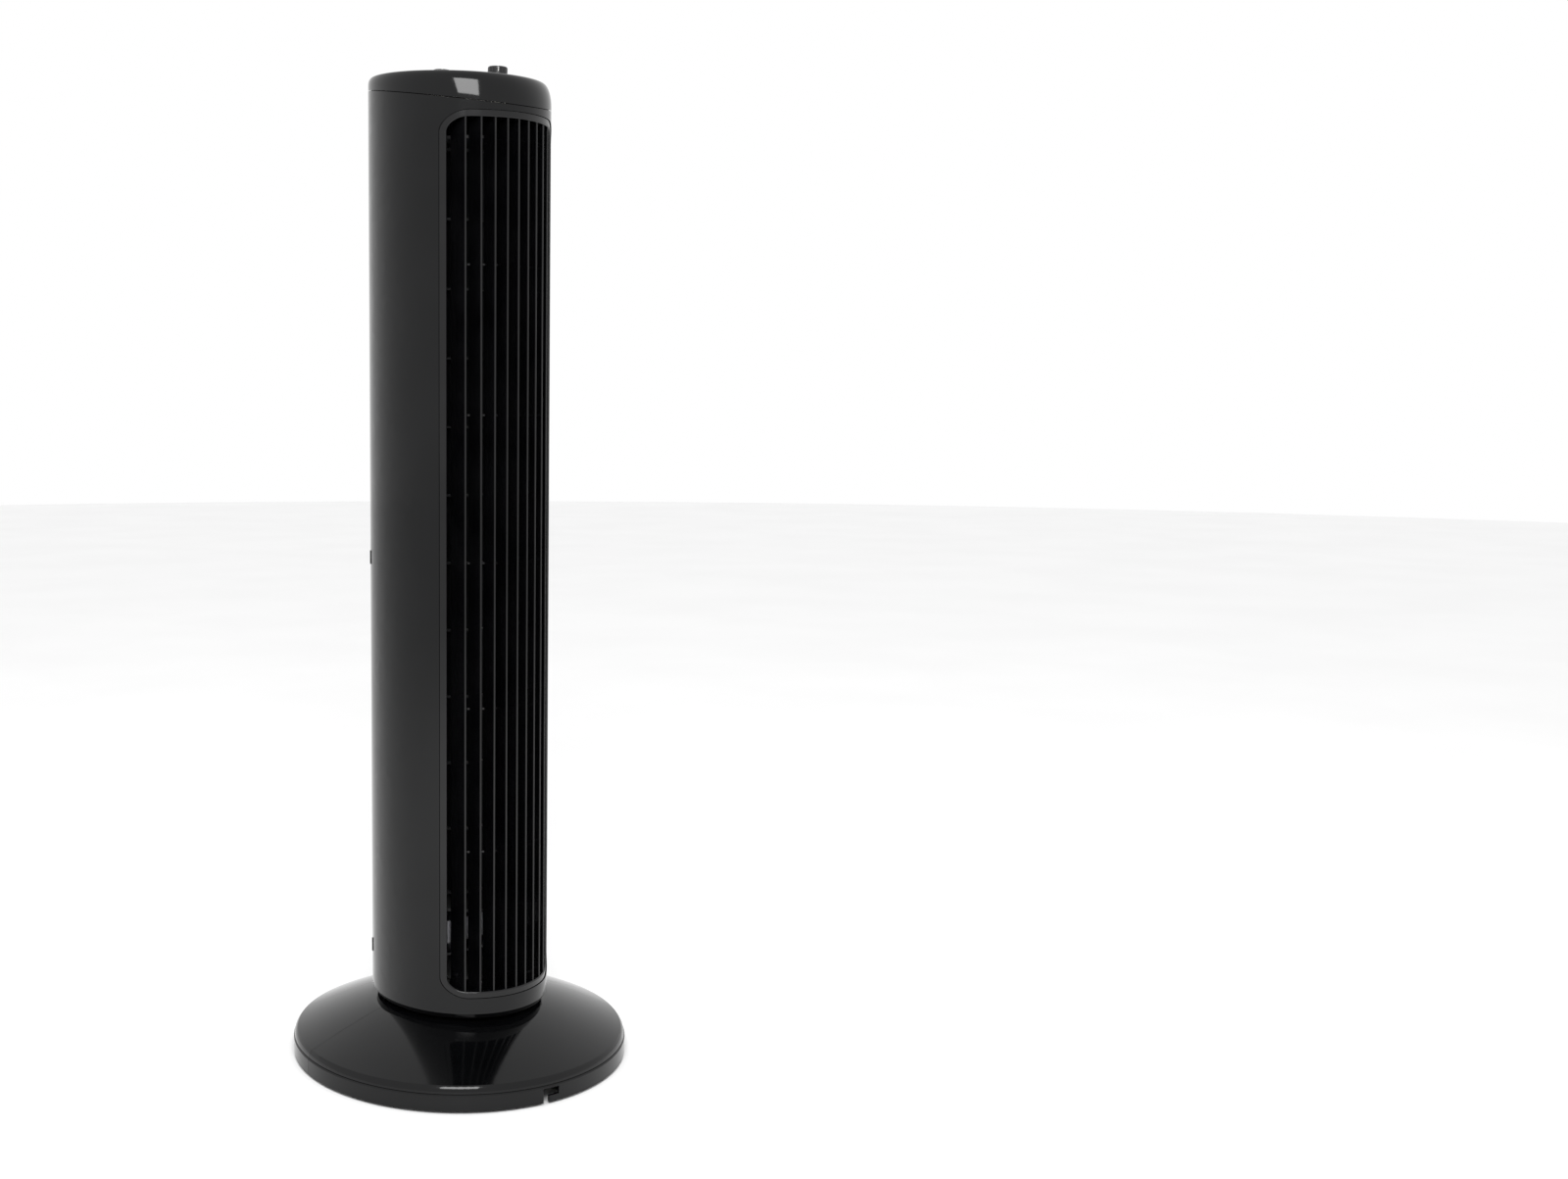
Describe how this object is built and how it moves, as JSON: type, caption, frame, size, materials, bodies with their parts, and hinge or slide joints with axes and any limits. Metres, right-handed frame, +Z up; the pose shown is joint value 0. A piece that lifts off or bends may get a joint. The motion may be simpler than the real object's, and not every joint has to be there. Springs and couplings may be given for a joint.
{
  "type": "tower fan",
  "caption": "Upright oscillating tower fan: oval column with a tall vertical-blade outlet grille, sloping cap with rotary controls, on a round two-piece base.",
  "frame": {"origin": "centre of the round base, on the floor", "axes": "+Z up the column; the outlet grille faces -Y; the base faces -Y turned 8 degrees towards -X"},
  "size_m": [0.3, 0.3, 0.8718],
  "materials": {
    "gloss_black": "polished black ABS",
    "control_black": "satin black ABS",
    "inner_black": "moulded black polypropylene",
    "drum_plastic": "moulded black fan drum",
    "white_plastic": "natural nylon",
    "rubber": "matt black rubber",
    "screw_steel": "blackened and zinc-plated screws",
    "steel": "ground and zinc-plated steel",
    "laminations": "stacked electrical steel",
    "coil_wrap": "yellow coil tape over winding",
    "bronze": "sintered bronze",
    "wire_sleeve": "PVC sleeve"
  },
  "bodies": {
    "base": {"base_front_half": "gloss_black", "base_rear_half": "gloss_black", "rubber_feet": "rubber", "base_pedestal": "inner_black", "base_screws": "screw_steel", "thrust_washer": "white_plastic", "retaining_ring": "inner_black", "retaining_ring_screws": "screw_steel", "cord_gland": "rubber"},
    "tower": {"swivel_plate": "inner_black", "front_housing": "gloss_black", "rear_cover": "gloss_black", "rear_cover_screws": "screw_steel", "front_grille": "gloss_black", "top_cap": "gloss_black", "speed_switch_body": "white_plastic", "timer_body": "white_plastic", "control_screws": "screw_steel", "oscillation_switch_body": "white_plastic", "oscillation_motor": "steel", "oscillation_motor_screws": "screw_steel", "motor_floor": "inner_black", "motor_floor_screws": "screw_steel", "motor_rubber_mounts": "rubber", "motor_lower_bracket": "steel", "motor_upper_bracket": "steel", "motor_stator": "laminations", "motor_coil": "coil_wrap", "motor_bushes": "bronze", "motor_screws": "screw_steel", "lower_bulkhead": "inner_black", "upper_bulkhead": "inner_black", "scroll_wall": "inner_black", "cutoff_tongue": "inner_black", "top_bearing_rubber": "rubber", "top_bearing_bush": "bronze", "wiring_harness": "wire_sleeve", "terminal_block": "white_plastic"},
    "impeller": {"motor_shaft": "steel", "motor_rotor": "laminations", "impeller_drum": "drum_plastic", "drum_drive_hub": "rubber", "drum_top_shaft": "steel"},
    "oscillation_crank": {"crank_arm": "inner_black", "crank_pin": "steel"},
    "speed_control": {"speed_knob": "control_black", "speed_spindle": "steel"},
    "timer_control": {"timer_knob": "control_black", "timer_spindle": "steel"},
    "swing_push": {"oscillation_button": "control_black"}
  },
  "joints": [
    {"name": "oscillation", "type": "hinge", "parent": "base", "child": "tower", "pos_m": [0, 0, 0.0545], "axis": [0, 0, 1], "range_deg": [-48, 32]},
    {"name": "crank_turn", "type": "hinge", "parent": "tower", "child": "oscillation_crank", "pos_m": [0, -0.032, 0.055], "axis": [0, 0, 1], "range_deg": [-89.6, 134.4]},
    {"name": "impeller_spin", "type": "hinge", "parent": "tower", "child": "impeller", "pos_m": [0, 0.008, 0.15], "axis": [0, 0, 1], "continuous": true},
    {"name": "speed_turn", "type": "hinge", "parent": "tower", "child": "speed_control", "pos_m": [0, -0.053, 0.85438], "axis": [0, -0.0785, 0.9969], "range_deg": [-135, 0]},
    {"name": "timer_turn", "type": "hinge", "parent": "tower", "child": "timer_control", "pos_m": [0, 0.0255, 0.86183], "axis": [0, -0.0785, 0.9969], "range_deg": [-300, 0]},
    {"name": "swing_push", "type": "slide", "parent": "tower", "child": "swing_push", "axis": [0, -0.0785, 0.9969], "range_m": [-0.0025, 0], "stiffness_N_per_m": 400}
  ],
  "couplings": [
    {"joint": "crank_turn", "follows": "oscillation", "ratio": -2.8}
  ]
}
